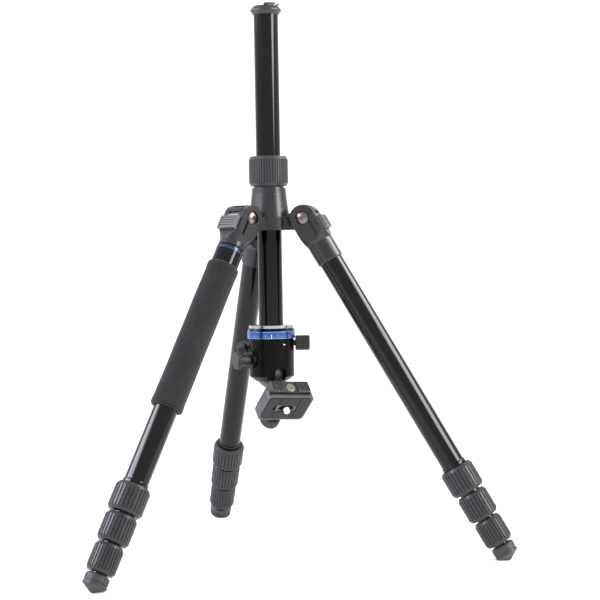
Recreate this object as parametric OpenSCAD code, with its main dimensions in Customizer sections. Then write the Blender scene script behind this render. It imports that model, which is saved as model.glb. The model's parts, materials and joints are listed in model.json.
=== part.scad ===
// Travel tripod: three four-section legs on a central casting, a centre column that is
// turned over so that its ball head hangs between the legs, and a quick-release clamp.
// Millimetres, +Z up. The origin is on the column's axis at floor level. One leg stands
// straight back along +Y, and two stand to the front, 120 degrees apart.

/* [Stance] */
// Angle of every leg from straight down, at its first stop
leg_spread = 30.6; // [26:0.2:35]
// From a leg's pivot to the tip of its foot, with all sections in
leg_len = 417; // [405:1:430]
// From the column's axis to a leg's pivot
pivot_r = 39.7; // [39.2:0.1:44]

/* [Central casting] */
// Radius of the drum at the foot of the casting
drum_r = 21.7; // [19.5:0.1:22.4]
// Height of the drum above the level of the pivots
drum_up = 1.8; // [0:0.2:4]
// Depth of the drum below the level of the pivots
drum_down = 12.2; // [10:0.2:13]
// Bevel at the drum's lower edge
drum_bevel = 1.2; // [0.4:0.2:2]
// Radius where the flared neck meets the drum
flare_r = 21.5; // [18.5:0.1:22]
// Radius at the top of the neck
neck_r = 18; // [16.6:0.1:18.4]
// Height of the neck's top above the pivots
neck_up = 33; // [28:0.5:36]
// Radius of the threaded stub that the collar turns on
stub_r = 16; // [15.6:0.1:16.4]
// Height of the stub above the neck
stub_h = 20; // [14:0.5:24]
// Width of the tongue between a fork's cheeks
tongue_w = 16; // [13:0.5:17]
// Radius of the tongue's crest
tongue_r = 14.2; // [12.5:0.1:14.4]
// Depth of the angle steps in the crest
step_depth = 1.8; // [1:0.1:2.4]
// Top of an arm above the pivots
arm_up = 5.3; // [3:0.1:8]
// Half width of an arm's root at the drum
arm_root = 13; // [9:0.5:15]

/* [Pivot bolts] */
// Radius of the bolt's shank
bolt_r = 4; // [3:0.1:4.5]
// Radius of the domed head
bolt_head_r = 6.1; // [5:0.1:6.6]
// Height of the domed head
bolt_head_h = 3.2; // [2:0.1:4]
// Across the flats of the hexagon socket
bolt_socket = 4.6; // [3:0.1:5.5]
// Depth of the hexagon socket
bolt_socket_h = 1.6; // [1:0.1:2]

/* [Leg forks] */
// Radius of the round end of a cheek
cheek_r = 13.8; // [12.5:0.1:14]
// Width over the two cheeks
fork_w = 31.2; // [28:0.2:34]
// Radius that rounds the corners of the fork
fork_round_r = 20; // [18.8:0.1:21]
// End of the slot between the cheeks, from the pivot
slot_end = 17.5; // [17:0.1:19]
// Radius of the counterbore for a bolt's head
counter_r = 7.4; // [7:0.1:8]
// Depth of that counterbore
counter_h = 2.6; // [1.6:0.1:3]
// Where the fork has narrowed to the round sleeve, from the pivot
fork_end = 30; // [27:0.5:33]
// Radius of the sleeve
sleeve_r = 14.1; // [13.6:0.1:14.6]
// End of the sleeve from the pivot
sleeve_end = 53; // [46:0.5:58]
// Bevel at the end of the sleeve
sleeve_bevel = 1; // [0.4:0.1:1.6]
// Floor of the tube's socket, from the pivot
socket_from = 23; // [21:0.5:26]
// Width of the dark groove down a cheek's outer face
pocket_w = 2.8; // [2:0.1:4]
// Depth of that groove
pocket_h = 2.2; // [0.6:0.1:2.4]
// How far outside the bolt that groove lies
pocket_side = 5; // [3.5:0.1:6]

/* [Angle tabs] */
// Width of the tab's finger plate
tab_w = 25.5; // [20:0.5:26]
// Height of the finger plate along the leg
tab_h = 14.8; // [11:0.5:15]
// Thickness of the finger plate
tab_t = 4; // [3:0.1:4.3]
// Near end of the finger plate, from the pivot
tab_from = 6.2; // [5:0.1:7.5]
// Depth of the finger grooves
tab_groove = 0.8; // [0.4:0.1:1.4]
// Number of finger grooves
tab_grooves = 4; // [2:1:6]

/* [Leg tubes] */
// Outer radius of the largest tube
tube_r = 12.5; // [12:0.1:13]
// Wall of every tube
tube_wall = 1.2; // [0.9:0.05:1.3]
// Step in radius from one tube to the next
tube_step = 1.5; // [1.35:0.05:1.7]
// Distance between the upper ends of nested tubes
tube_stagger = 9; // [4:0.5:14]

/* [Leg locks] */
// Radius of the largest lock
lock_r = 17.95; // [16.8:0.05:18.4]
// Step in radius from one lock to the next
lock_step = 1.5; // [1.2:0.05:1.7]
// Length of a lock
lock_h = 28.6; // [25:0.2:29.6]
// Gap between one lock and the next
lock_gap = 2.4; // [1.4:0.1:4.4]
// Length of the leg below the last lock and its gap
tip_len = 18.5; // [15:0.5:26]
// Length of a lock's bevelled ends
lock_bevel = 3.4; // [1.5:0.1:5]
// Height of the bevel's step in radius
lock_bevel_r = 2; // [1:0.1:2.6]
// Number of ribs round a lock
lock_ribs = 28; // [16:1:36]
// Depth of the grooves between the ribs
lock_groove = 0.9; // [0.4:0.1:1.2]
// Length of tube inside its lock
lock_grip = 18; // [12:0.5:20]

/* [Feet] */
// Radius of the foot
foot_r = 12.5; // [11.5:0.1:14]
// Length of the foot's round part
foot_h = 11.2; // [9:0.2:13]
// Radius of the blunt tip
foot_tip_r = 1.2; // [0.6:0.1:3]
// Width of the groove round the foot
foot_ring = 1.4; // [0.8:0.1:2.4]
// Depth of that groove
foot_ring_h = 0.8; // [0.4:0.1:1.4]

/* [Foam grip and unscrewing leg] */
// Radius of the grip
grip_r = 16.6; // [15:0.1:16.9]
// Radius of the rolled ends
grip_end_r = 16.9; // [15.2:0.1:17.1]
// Start of the grip, from the pivot
grip_from = 57; // [52:0.5:64]
// End of the grip, from the pivot
grip_to = 221; // [170:1:260]
// Length of a rolled end
grip_end_h = 5; // [3:0.5:9]
// End of the shortened sleeve, from the pivot
stop_end = 36; // [34:0.5:37]
// Radius of the coloured ring
band_r = 14.5; // [13.8:0.1:15]
// Start of the coloured ring, from the pivot
band_from = 38; // [37.5:0.1:39]
// Width of the coloured ring
band_h = 3.4; // [2:0.1:5]
// Radius of the collar below the ring
cuff_r = 14.3; // [13.8:0.1:15]

/* [Column] */
// Outer radius of the column
column_r = 13; // [12:0.1:13.2]
// Wall of the column
column_wall = 1.6; // [1:0.1:2.2]
// Top of the tube above the pivots
column_up = 216.6; // [180:1:260]
// Face of the column's lower plug below the pivots
column_down = 113.2; // [100:0.5:130]
// Height of the plug's visible rim
plug_h = 5.4; // [3:0.2:8]
// Radius of the stud that carries the head, three eighths of an inch across
stud_r = 4.76; // [4.7:0.02:4.8]
// Wall of the guide bush in the casting
bush_wall = 1.3; // [0.8:0.1:1.4]

/* [Column collar] */
// Radius of the collar
collar_r = 20.9; // [20:0.1:21.4]
// Height of the collar
collar_h = 31.4; // [26:0.2:34]
// Gap between the neck and the collar
collar_gap = 2; // [1:0.1:3]
// Number of ribs round the collar
collar_ribs = 46; // [24:1:48]
// Depth of the grooves between the ribs
collar_groove = 0.8; // [0.4:0.1:1.2]
// Height of the collar's bevelled ends
collar_bevel = 3.6; // [2:0.1:5]
// Step in radius of those bevels
collar_bevel_r = 1.8; // [1:0.1:2.4]

/* [Column cap] */
// Greatest radius of the cap
cap_r = 16.4; // [15:0.1:17.5]
// Radius of the cap's top and bottom
cap_end_r = 13.4; // [13.3:0.1:14.5]
// Height of the cap
cap_h = 9; // [7:0.2:12]
// Length of the cap's spigot in the column
cap_spigot = 12; // [8:0.5:16]
// Radius of the ring's wire
ring_wire_r = 1.25; // [1:0.05:1.5]
// Width of the ring over its wire
ring_w = 17; // [14:0.5:20]
// Reach of the ring from its pin
ring_len = 15; // [12:0.5:18]
// Height of the ring's pin above the cap
ring_up = 2.6; // [2:0.1:3.4]
// Width of the ring's lug
ring_lug = 6; // [4:0.5:9]
// Compass angle of the ring about the column
ring_turn = 75; // [0:5:355]

/* [Ball head] */
// Compass angle of the drop notch about the column, from the front
head_turn = 8; // [-30:1:30]
// Radius of the panning base
pan_r = 25.4; // [24:0.1:27]
// Height of the bright disc on the base
disc_h = 3; // [2:0.1:4]
// Height of the coloured ring
pan_h = 11; // [8:0.2:13]
// Bevel at the ring's upper edge
pan_bevel = 1.6; // [0.4:0.1:2]
// Radius of the base's spigot in the housing
spigot_r = 12; // [10:0.1:13]
// Length of that spigot
spigot_h = 12; // [8:0.5:13]
// Outer radius of the housing
housing_r = 24; // [22.6:0.1:24.2]
// Height of the ball's centre below the ring
ball_drop = 36.4; // [35:0.2:39]
// Wall of the housing round the ball
housing_wall = 5.7; // [5.5:0.1:7]
// Depth of the housing's mouth below the ball's centre
mouth_down = 9; // [8:0.2:10]
// Width of the mouth's rim
rim_w = 1.5; // [1:0.1:2]
// Height of the bevel that leads to the rim
rim_bevel = 5; // [3:0.2:6]
// Radius of the stem
stem_r = 5.5; // [4.5:0.1:6]
// Side clearance of the stem in the drop notch
notch_gap = 0.7; // [0.5:0.1:1.2]
// Radius of the stem's pin in the ball
stem_pin_r = 5; // [3.5:0.1:5.4]
// Tilt of the clamp from straight down
head_tilt = 44; // [44:1:60]
// Turn of the clamp on its stem
head_spin = 5.5; // [-10:0.5:10]

/* [Head knobs] */
// Radius of the knobs' shafts
shaft_r = 3; // [2:0.1:3.4]
// Radius of the ball-lock knob
lock_knob_r = 9.4; // [8:0.1:11]
// Thickness of the ball-lock knob's rim
lock_knob_h = 5.6; // [4:0.2:8]
// Radius of the ball-lock knob's barrel
lock_barrel_r = 6.4; // [5:0.1:7]
// Reach of the ball-lock knob beyond the housing's wall
lock_knob_out = 19; // [16:0.5:24]
// Compass angle of the ball-lock knob, from the front
lock_knob_turn = -80; // [-90:1:-65]
// Height of the ball-lock knob above the ball's centre
lock_knob_up = 14; // [13:0.2:15]
// Radius of the knob's boss on the housing
boss_r = 9.6; // [8:0.1:10]
// Reach of the boss beyond the housing's wall
boss_out = 1.6; // [0.6:0.1:2.4]
// Radius of the drag knob
drag_knob_r = 7; // [6:0.1:7.6]
// Reach of the drag knob beyond the housing's wall
drag_knob_out = 14; // [10:0.5:18]
// Compass angle of the drag knob, from the front
drag_knob_turn = -124; // [-135:1:-120]
// Depth of the drag knob's blind bore in the housing's wall
drag_floor_in = 7; // [6:0.5:8]
// How far that knob dips from level, in degrees
drag_dip = 24; // [0:1:26]
// Height of the drag knob above the ball's centre
drag_knob_up = 29; // [28.6:0.1:29.4]
// Radius of the pan-lock knob
pan_knob_r = 8; // [6.5:0.1:8.2]
// Length of the pan-lock knob
pan_knob_h = 15.3; // [12.3:0.5:16.3]
// Compass angle of the pan-lock knob, from the front
pan_knob_turn = 71; // [60:1:85]
// Height of the pan-lock knob above the ball's centre
pan_knob_up = 31; // [30:0.1:31.4]
// Gap between the two smaller knobs and the head
knob_gap = 2.6; // [2:0.1:4]
// Number of flutes on a knob
knob_ribs = 18; // [10:1:24]
// Depth of those flutes
knob_groove = 0.7; // [0.3:0.1:1]
// Bevel of the knobs' edges
knob_bevel = 1; // [0.5:0.1:1.6]

/* [Clamp] */
// Underside of the clamp, from the ball's centre
clamp_from = 31.4; // [30:0.2:34]
// Length of the clamp along its jaws
clamp_len = 44; // [38:0.5:50]
// Thickness of the clamp's floor
clamp_floor = 9; // [8.6:0.1:11]
// Width over the closed jaws
clamp_w = 46; // [44:0.5:50]
// Height of the jaws above the floor
jaw_h = 5.6; // [5.2:0.1:5.8]
// Bevel of the clamp's outer edges
clamp_bevel = 1.4; // [0.8:0.1:2]
// Half width of the floor on the moving jaw's side
floor_half = 15.4; // [14.6:0.1:15.6]
// Number of grooves on each block of the fixed jaw
clamp_grooves = 4; // [2:1:6]
// Depth of those grooves
clamp_groove = 0.8; // [0.4:0.1:1.2]
// Half width of the recess between the blocks
recess_half = 8; // [7:0.5:10]
// Depth of that recess
recess_h = 1.6; // [0.6:0.1:2]
// Radius of the clamp's screw
clamp_screw_r = 3; // [2:0.1:3.2]
// Height of the clamp's screw above its underside
clamp_screw_up = 5; // [4.2:0.1:5]
// Radius of the clamp's knob
clamp_knob_r = 10.5; // [9:0.1:12]
// Thickness of the clamp's knob
clamp_knob_h = 11; // [8:0.5:13]
// Clear length of screw between jaw and knob
clamp_knob_gap = 6; // [4:0.2:8]
// Radius of the bubble level
bubble_r = 5.2; // [4.5:0.1:6]
// Depth of the bubble level's pocket
bubble_h = 1.8; // [1:0.1:1.9]
// How far the bubble level stands out of its pocket
bubble_out = 0.8; // [0.3:0.1:1.2]
// Height of the bubble level's centre above the clamp's underside
bubble_up = 8.6; // [7.4:0.1:8.8]

/* [Camera plate] */
// Length of the plate
plate_len = 54; // [48:0.5:60]
// Width of the plate over its dovetail
plate_w = 38; // [37.6:0.1:38.4]
// Thickness of the plate
plate_h = 9.6; // [9:0.1:11]
// Height of each flank of the dovetail
flank_h = 2.4; // [2.2:0.1:2.5]
// Gap between the clamp's jaws and the plate's rim
plate_gap = 1.2; // [0.3:0.1:1.6]
// Corner radius of the plate
plate_corner = 5; // [2:0.2:8]
// Half width of the slot for the camera screw
slot_half = 3.5; // [3.4:0.1:4]
// Length of that slot
slot_len = 18; // [16:0.5:22]
// How far from the screw the short cross slot lies
cross_from = 13.5; // [13:0.5:15]
// Length of the cross slot
cross_len = 9; // [6:0.5:12]
// Width of the cross slot
cross_w = 3.4; // [2.4:0.1:4]
// Depth of the cross slot
cross_h = 3.4; // [2:0.1:4]
// Radius of the camera screw, a quarter inch across
camera_screw_r = 3.175; // [3.1:0.025:3.2]
// Radius of the screw's plain shank, which keeps it in the slot
camera_shank_r = 2.8; // [2.4:0.1:3]
// How far the camera screw stands above the pads
camera_screw_up = 5; // [4:0.2:6]
// Radius of the camera screw's head
camera_head_r = 7.2; // [6:0.1:8]
// Thickness of the camera screw's head
camera_head_h = 2.6; // [2:0.1:3]
// Thickness of the rubber pads
pad_h = 0.8; // [0.4:0.1:1.4]
// Border of bare metal round the pads
pad_edge = 2.6; // [1.5:0.1:4]

/* [Fits] */
// Radial clearance of a running fit
run = 0.08; // [0.05:0.01:0.1]
// Clearance between moving faces that don't bear
clear = 0.3; // [0.25:0.01:0.4]
// Play between pieces that are fixed together
seat = 0.02; // [0:0.01:0.05]
// Overrun of a cut past the face it opens
over = 1; // [0.5:0.1:2]

/* [Hidden] */
$fn = 64;

// Turns of the right, left and rear legs about the column, from +X
leg_turns = [-30, 210, 90];
// Height of the pivots above the floor: a foot's tip just touches it
pivot_z = leg_len * cos(leg_spread);
// Directions from the pivot of the three steps in a tongue's crest, and their width
step_turns = [-18, 22, 58];
step_span = 13;
// Rise of a rib's two flanks, as shares of the ribs' spacing
rib_shares = [0.07, 0.2, 0.8, 0.93];
// Curve of the casting's neck: height and radius as shares of its flare
neck_shares = [[0.15, 0.84], [0.34, 0.62], [0.56, 0.38], [0.8, 0.14]];
// A steel thread's end is bevelled by this share of its radius
tip_share = 0.2;
// The cap's widest line, as a share of its height, and half that band's height
cap_mid_share = 0.52;
cap_band_share = 0.08;
// Depth of the stem's bore as a share of the ball's radius, and the stem's foot as a
// multiple of its radius
bore_share = 0.7;
stem_foot_share = 1.6;
// A groove in the clamp's fixed jaw: its start and width as shares of their spacing
groove_shares = [0.7, 0.42];
// The screwdriver slot's width as a share of the camera screw's radius
driver_share = 0.4;

bush_r = column_r + run + bush_wall;
// An arm starts inside the wall of the drum
arm_from = bush_r + bush_wall;
collar_z = pivot_z + neck_up + collar_gap;
cap_z = pivot_z + column_up;
disc_z = pivot_z - column_down;
ring_z = disc_z - disc_h;
housing_z = ring_z - pan_h - clear;
ball_z = ring_z - pan_h - ball_drop;
stud_in = plug_h + disc_h;
stud_out = disc_h + spigot_h;
housing_top = housing_z - ball_z;
cavity_r = housing_r - housing_wall;
ball_r = cavity_r - clear;
boss_end = housing_r + boss_out;
lock_knob_end = housing_r + lock_knob_out;
drag_knob_end = housing_r + drag_knob_out;
drag_floor_r = housing_r - drag_floor_in;
pan_knob_from = max(pan_r, housing_r) + clear;
mouth_r = sqrt(cavity_r * cavity_r - mouth_down * mouth_down);
tab_face = cheek_r + clear;
tab_out = tab_face + tab_t;
clamp_top = clamp_from + clamp_floor;
plate_from = clamp_top + clear / 2;
plate_top = plate_from + plate_h;
plate_half = plate_w / 2;
jaw_gap = clear / 2;
clamp_half = clamp_w / 2;
knob_from = clamp_half + clamp_knob_gap;
screw_z = clamp_from + clamp_screw_up;
// The camera screw's head lies in a pocket under the plate
head_pocket = camera_head_h + clear;

function tube_rad(i) = tube_r - i * tube_step;
function lock_top(i) = leg_len - tip_len - (3 - i) * (lock_h + lock_gap);
function tube_top(i) = i == 0 ? socket_from : sleeve_end + (i - 1) * tube_stagger;
function foot_end() = leg_len - foot_r * tan(leg_spread);
function foot_top() = foot_end() - foot_h;
function tube_end(i) = i < 3 ? lock_top(i) + lock_grip : foot_end() - foot_ring;

// Points of a ribbed outline: each rib is a flat land between two sloping flanks
function rib_points(r, depth, n) = [
  for (i = [0 : n - 1]) for (k = [0 : 3])
    let (a = (i + rib_shares[k]) * 360 / n, q = k == 0 || k == 3 ? r - depth : r)
      [q * cos(a), q * sin(a)]
];

// A ribbed grip of radius r and height h with both ends bevelled. The bevels' cones run on
// a quarter of their length past the ribs' lands.
module ribbed(r, h, bevel_r, bevel_h, n, depth) {
  past = r + bevel_r / 4;
  rise = bevel_h + bevel_h / 4;
  intersection() {
    linear_extrude(height = h) polygon(rib_points(r, depth, n));
    rotate_extrude() polygon([
      [0, 0], [r - bevel_r, 0], [past, rise], [past, h - rise], [r - bevel_r, h], [0, h]
    ]);
  }
}

module pipe(r_out, r_in, z0, z1) {
  difference() {
    translate([0, 0, z0]) cylinder(r = r_out, h = z1 - z0);
    translate([0, 0, z0 - over]) cylinder(r = r_in, h = z1 - z0 + 2 * over);
  }
}

// A profile drawn in x and z, and carried across y to both sides
module across(w) {
  rotate([90, 0, 0]) linear_extrude(height = w, center = true) children();
}

// The plane of leg i: x outward from its pivot, z up
module at_pivot(i) {
  translate([0, 0, pivot_z]) rotate([0, 0, leg_turns[i]]) translate([pivot_r, 0, 0])
    children();
}

// Along leg i: z runs from the pivot to the foot, and -x faces outward and up
module on_leg(i) {
  at_pivot(i) rotate([0, 180 - leg_spread, 0]) children();
}

// The central casting: a drum, a flared neck and a threaded stub
module hub_form() {
  rise = neck_up - drum_up;
  rotate_extrude() polygon(concat(
    [[0, -drum_down], [drum_r - drum_bevel, -drum_down], [drum_r, drum_bevel - drum_down],
     [drum_r, drum_up], [flare_r, drum_up]],
    [for (s = neck_shares) [neck_r + s[1] * (flare_r - neck_r), drum_up + s[0] * rise]],
    [[neck_r, neck_up], [stub_r, neck_up], [stub_r, neck_up + stub_h], [0, neck_up + stub_h]]
  ));
}

module step_cut(a) {
  far = tongue_r + over;
  near = tongue_r - step_depth;
  polygon([
    [near * cos(a), near * sin(a)], [far * cos(a), far * sin(a)],
    [far * cos(a + step_span), far * sin(a + step_span)],
    [near * cos(a + step_span), near * sin(a + step_span)]
  ]);
}

module tongue_form() {
  reach = pivot_r - arm_from;
  across(tongue_w) difference() {
    union() {
      circle(r = tongue_r);
      polygon([[-reach, -drum_down], [0, -drum_down], [0, arm_up], [-reach, arm_up]]);
    }
    for (a = step_turns) step_cut(a);
  }
}

// The arm's root widens where it leaves the drum, short of the turning cheeks
module arm_root_form() {
  tip = pivot_r - sleeve_r - clear;
  translate([0, 0, pivot_z - drum_down]) linear_extrude(height = drum_down + drum_up)
    polygon([[arm_from, -arm_root], [tip, -tongue_w / 2], [tip, tongue_w / 2],
      [arm_from, arm_root]]);
}

module spider() {
  color("#2b2c2f") difference() {
    union() {
      translate([0, 0, pivot_z]) hub_form();
      for (i = [0 : 2]) {
        at_pivot(i) tongue_form();
        rotate([0, 0, leg_turns[i]]) arm_root_form();
      }
    }
    translate([0, 0, pivot_z - drum_down - over])
      cylinder(r = bush_r + seat, h = drum_down + neck_up + stub_h + 2 * over);
    for (i = [0 : 2]) at_pivot(i) rotate([90, 0, 0])
      cylinder(r = bolt_r + seat, h = tongue_w + 2 * over, center = true);
  }
}

module column_bush() {
  color("#1a1a1b")
    pipe(bush_r, column_r + run, pivot_z - drum_down, pivot_z + neck_up + stub_h);
}

// One bolt: a shank between two domed heads, each with a hexagon socket
module bolt_form() {
  under = fork_w / 2 - counter_h + clear;
  rotate([90, 0, 0]) {
    cylinder(r = bolt_r, h = 2 * under, center = true);
    for (m = [0, 1]) mirror([0, 0, m]) translate([0, 0, under]) difference() {
      intersection() {
        cylinder(r = bolt_head_r, h = bolt_head_h);
        translate([0, 0, bolt_head_h - 2 * bolt_head_r]) sphere(r = 2 * bolt_head_r);
      }
      translate([0, 0, bolt_head_h - bolt_socket_h])
        cylinder(r = bolt_socket / sqrt(3), h = bolt_socket_h + over, $fn = 6);
    }
  }
}

module pivot_bolts() {
  color("#c9c6c0") for (i = [0 : 2]) at_pivot(i) bolt_form();
}

// The collar that clamps the column, over the casting's stub
module column_collar() {
  color("#3c3d40") translate([0, 0, collar_z]) difference() {
    ribbed(collar_r, collar_h, collar_bevel_r, collar_bevel, collar_ribs, collar_groove);
    translate([0, 0, -over]) cylinder(r = column_r + run, h = collar_h + 2 * over);
    translate([0, 0, -over])
      cylinder(r = stub_r + run, h = stub_h - collar_gap + clear + over);
  }
}

module column_tube() {
  color("#0c0c0e")
    pipe(column_r, column_r - column_wall, disc_z + plug_h, pivot_z + column_up);
}

// The plug shows as a rim at the column's lower end, and its spigot is inside the tube
module column_plug() {
  color("#101012") translate([0, 0, disc_z]) difference() {
    union() {
      cylinder(r = column_r + seat, h = plug_h);
      cylinder(r = column_r - column_wall - seat, h = plug_h + cap_spigot);
    }
    translate([0, 0, -over]) cylinder(r = stud_r + seat, h = stud_in + over);
  }
}

module lug_side() {
  r = ring_wire_r + ring_up / 3;
  translate([0, ring_up]) circle(r = r);
  translate([-r, -over]) square([2 * r, ring_up + over]);
}

module column_cap() {
  mid = cap_h * cap_mid_share;
  band = cap_h * cap_band_share;
  color("#2f3032") translate([0, 0, cap_z]) difference() {
    union() {
      rotate_extrude() polygon([
        [0, -cap_spigot], [column_r - column_wall - seat, -cap_spigot],
        [column_r - column_wall - seat, 0], [cap_end_r, 0], [cap_r, mid - band],
        [cap_r, mid + band], [cap_end_r, cap_h], [0, cap_h]
      ]);
      rotate([0, 0, ring_turn - 90]) translate([0, 0, cap_h]) across(ring_lug) lug_side();
    }
    rotate([0, 0, ring_turn - 90]) translate([0, 0, cap_h + ring_up]) rotate([90, 0, 0])
      cylinder(r = ring_wire_r + run, h = ring_lug + 2 * over, center = true);
  }
}

// The ring folds flat on the cap: a pin through the lug, two arms and a round end
module cap_ring() {
  bend = ring_w / 2 - ring_wire_r;
  arm = ring_len - bend - ring_wire_r;
  color("#3a3a3c") translate([0, 0, cap_z + cap_h + ring_up])
    rotate([0, 0, ring_turn - 90]) {
      rotate([90, 0, 0]) cylinder(r = ring_wire_r, h = 2 * bend, center = true);
      for (s = [-1, 1]) translate([0, s * bend, 0]) {
        rotate([0, 90, 0]) cylinder(r = ring_wire_r, h = arm);
        sphere(r = ring_wire_r);
      }
      translate([arm, 0, 0]) rotate([0, 0, -90]) rotate_extrude(angle = 180)
        translate([bend, 0]) circle(r = ring_wire_r);
    }
}

// A cheek of a leg's fork, seen from the side
module fork_side() {
  circle(r = cheek_r);
  polygon([[-cheek_r, 0], [cheek_r, 0], [sleeve_r, fork_end], [-sleeve_r, fork_end]]);
}

module sleeve_form(end) {
  rotate_extrude() polygon([
    [0, socket_from], [sleeve_r - sleeve_bevel, socket_from], [sleeve_r, fork_end],
    [sleeve_r, end - sleeve_bevel], [sleeve_r - sleeve_bevel, end], [0, end]
  ]);
}

// A round-ended groove down the outer face of a cheek, from the bolt to the sleeve
module cheek_pocket() {
  from = pocket_w;
  to = slot_end + pocket_side;
  translate([-pocket_side, 0, (from + to) / 2]) rotate([-90, 0, 0]) rotate([0, 0, 90])
    long_slot(pocket_w / 2, to - from, 0, pocket_h + over);
}

// The leg's top casting: two cheeks round the tongue, and a sleeve for the tube
module fork_form(end) {
  difference() {
    union() {
      intersection() {
        across(fork_w) fork_side();
        rotate_extrude() polygon([
          [0, -cheek_r - over], [fork_round_r, -cheek_r - over], [fork_round_r, slot_end],
          [sleeve_r, fork_end], [0, fork_end]
        ]);
      }
      sleeve_form(end);
    }
    translate([-fork_w, -tongue_w / 2 - clear, -fork_w])
      cube([2 * fork_w, tongue_w + 2 * clear, fork_w + slot_end]);
    rotate([90, 0, 0]) cylinder(r = bolt_r + run, h = fork_w + 2 * over, center = true);
    for (m = [0, 1]) mirror([0, m, 0]) {
      translate([0, fork_w / 2 - counter_h, 0]) rotate([-90, 0, 0])
        cylinder(r = counter_r, h = counter_h + over);
      translate([0, fork_w / 2 - pocket_h, 0]) cheek_pocket();
    }
    translate([0, 0, socket_from]) cylinder(r = tube_r + seat, h = end);
  }
}

// The angle tab: a finger plate outside the fork, on a block that slides between the
// cheeks and is hollowed to clear the tongue's crest
module tab_form() {
  inner = tongue_w / 2;
  pitch = tab_h / (tab_grooves + 1);
  difference() {
    union() {
      translate([-tab_out, -tab_w / 2, tab_from]) cube([tab_t, tab_w, tab_h]);
      translate([-tab_out, -inner, tab_from])
        cube([tab_out - tongue_r / 2, 2 * inner, slot_end - clear - tab_from]);
    }
    rotate([90, 0, 0]) cylinder(r = tongue_r + clear, h = tab_w + 2 * over, center = true);
    for (k = [1 : tab_grooves]) translate([-tab_out - over, -tab_w / 2 + tab_t / 2,
      tab_from + k * pitch - pitch / 4])
      cube([tab_groove + over, tab_w - tab_t, pitch / 2]);
    for (s = [0, 1]) mirror([0, s, 0]) translate([-tab_out, tab_w / 2, 0])
      rotate([0, 0, 45]) translate([0, 0, tab_from - over])
        cube([tab_t / 2, tab_t / 2, tab_h + 2 * over], center = false);
  }
}

module tube_form(i) {
  pipe(tube_rad(i), tube_rad(i) - tube_wall, tube_top(i), tube_end(i));
}

// A leg lock: its upper bore turns on the outer tube, its lower bore holds the inner one
module lock_form(i) {
  r = lock_r - i * lock_step;
  translate([0, 0, lock_top(i)]) difference() {
    ribbed(r, lock_h, lock_bevel_r, lock_bevel, lock_ribs, lock_groove);
    translate([0, 0, -over]) cylinder(r = tube_rad(i + 1) + run, h = lock_h + 2 * over);
    translate([0, 0, -over]) cylinder(r = tube_rad(i) + run, h = lock_grip + clear + over);
  }
}

// A rubber foot: its cone lies flat on the floor at the leg's first stop
module foot_form() {
  top = foot_top();
  end = foot_end();
  tip_z = leg_len - foot_tip_r * tan(leg_spread);
  difference() {
    rotate_extrude() polygon([
      [0, top], [foot_r - foot_ring, top], [foot_r, top + foot_ring],
      [foot_r, end - 3 * foot_ring], [foot_r - foot_ring_h, end - 3 * foot_ring],
      [foot_r - foot_ring_h, end - 2 * foot_ring], [foot_r, end - 2 * foot_ring],
      [foot_r, end], [foot_tip_r, tip_z], [0, tip_z]
    ]);
    translate([0, 0, top - over]) cylinder(r = tube_rad(3) + seat, h = foot_h + over - foot_ring);
  }
}

module right_fork() { color("#303134") on_leg(0) fork_form(sleeve_end); }
module right_tab() { color("#55565a") on_leg(0) tab_form(); }
module right_tube_1() { color("#0c0c0e") on_leg(0) tube_form(0); }
module right_lock_1() { color("#47484c") on_leg(0) lock_form(0); }
module right_tube_2() { color("#0e0e10") on_leg(0) tube_form(1); }
module right_lock_2() { color("#47484c") on_leg(0) lock_form(1); }
module right_tube_3() { color("#0e0e10") on_leg(0) tube_form(2); }
module right_lock_3() { color("#47484c") on_leg(0) lock_form(2); }
module right_tube_4() { color("#0e0e10") on_leg(0) tube_form(3); }
module right_foot() { color("#3d3e41") on_leg(0) foot_form(); }

module left_fork() { color("#303134") on_leg(1) fork_form(stop_end); }
module left_tab() { color("#55565a") on_leg(1) tab_form(); }

// A coloured ring marks where this leg unscrews, between the fork and the cuff
module left_band() {
  color("#2f62b8") on_leg(1) pipe(band_r, tube_r + seat, band_from, band_from + band_h);
}

module left_cuff() {
  color("#151517") on_leg(1)
    pipe(cuff_r, tube_r + seat, band_from + band_h, grip_from);
}

// A foam sleeve with rolled ends
module left_grip() {
  color("#37373a") on_leg(1) difference() {
    rotate_extrude() polygon([
      [0, grip_from], [grip_end_r - grip_end_h / 3, grip_from],
      [grip_end_r, grip_from + grip_end_h / 3], [grip_end_r, grip_from + grip_end_h],
      [grip_r, grip_from + 2 * grip_end_h], [grip_r, grip_to - 2 * grip_end_h],
      [grip_end_r, grip_to - grip_end_h], [grip_end_r, grip_to - grip_end_h / 3],
      [grip_end_r - grip_end_h / 3, grip_to], [0, grip_to]
    ]);
    translate([0, 0, grip_from - over])
      cylinder(r = tube_r + seat, h = grip_to - grip_from + 2 * over);
  }
}

module left_tube_1() { color("#0c0c0e") on_leg(1) tube_form(0); }
module left_lock_1() { color("#47484c") on_leg(1) lock_form(0); }
module left_tube_2() { color("#0e0e10") on_leg(1) tube_form(1); }
module left_lock_2() { color("#47484c") on_leg(1) lock_form(1); }
module left_tube_3() { color("#0e0e10") on_leg(1) tube_form(2); }
module left_lock_3() { color("#47484c") on_leg(1) lock_form(2); }
module left_tube_4() { color("#0e0e10") on_leg(1) tube_form(3); }
module left_foot() { color("#3d3e41") on_leg(1) foot_form(); }

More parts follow.
